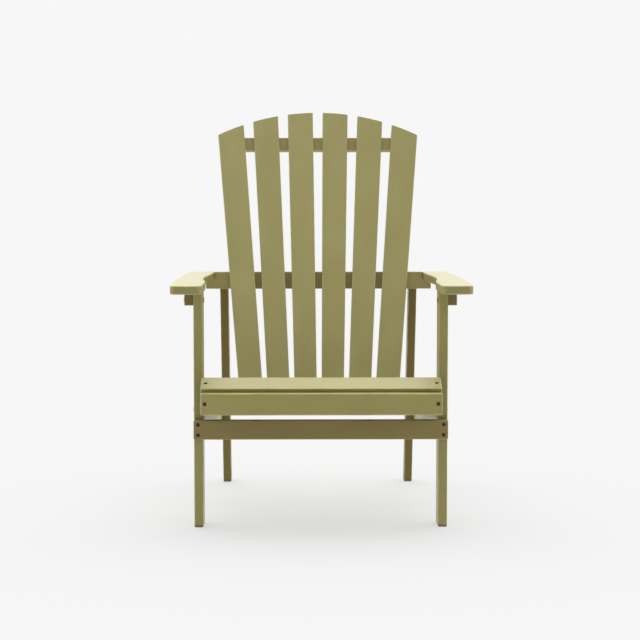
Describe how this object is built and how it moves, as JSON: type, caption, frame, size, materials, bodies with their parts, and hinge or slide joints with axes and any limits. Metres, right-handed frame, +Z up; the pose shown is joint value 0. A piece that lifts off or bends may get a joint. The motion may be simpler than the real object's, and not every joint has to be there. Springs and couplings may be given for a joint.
{
  "type": "adirondack chair",
  "caption": "Painted wooden garden armchair with a fanned, arch-topped slatted back, broad flat arms and a low slatted seat that falls to the rear.",
  "frame": {"origin": "on the floor, at the middle of the chair's bounding box seen from above", "axes": "+Z up, -Y to the front of the chair (the way a sitter faces), +X to the chair's right-hand side as seen from the front"},
  "size_m": [0.6872, 0.8384, 0.9924],
  "materials": {
    "painted_wood": "satin olive green outdoor paint",
    "screw_steel": "dark brown coated steel",
    "bolt_steel": "bronze-toned plated steel"
  },
  "bodies": {
    "root": {"stringer_left": "painted_wood", "stringer_right": "painted_wood", "front_leg_left": "painted_wood", "front_leg_right": "painted_wood", "front_apron": "painted_wood", "seat_front_rail": "painted_wood", "seat_slat_1": "painted_wood", "seat_slat_2": "painted_wood", "seat_slat_3": "painted_wood", "seat_slat_4": "painted_wood", "seat_slat_5": "painted_wood", "seat_slat_6": "painted_wood", "rear_leg_left": "painted_wood", "rear_leg_right": "painted_wood", "middle_back_rail": "painted_wood", "top_back_cleat": "painted_wood", "lower_back_rail": "painted_wood", "back_slat_1": "painted_wood", "back_slat_2": "painted_wood", "back_slat_3": "painted_wood", "back_slat_4": "painted_wood", "back_slat_5": "painted_wood", "back_slat_6": "painted_wood", "arm_left": "painted_wood", "arm_right": "painted_wood", "arm_block_left": "painted_wood", "arm_block_right": "painted_wood", "front_rail_screws": "screw_steel", "apron_screws": "screw_steel", "seat_slat_screws": "screw_steel", "top_cleat_screws": "screw_steel", "middle_rail_screws": "screw_steel", "lower_rail_screws": "screw_steel", "lower_rail_end_screws": "screw_steel", "rear_leg_screws": "screw_steel", "arm_block_screws": "screw_steel", "arm_rear_screws": "screw_steel", "leg_bolts": "bolt_steel", "leg_sleeve_nuts": "bolt_steel", "arm_block_bolts": "bolt_steel", "arm_block_sleeve_nuts": "bolt_steel", "rear_leg_bolts": "bolt_steel", "rear_leg_sleeve_nuts": "bolt_steel"}
  },
  "joints": []
}
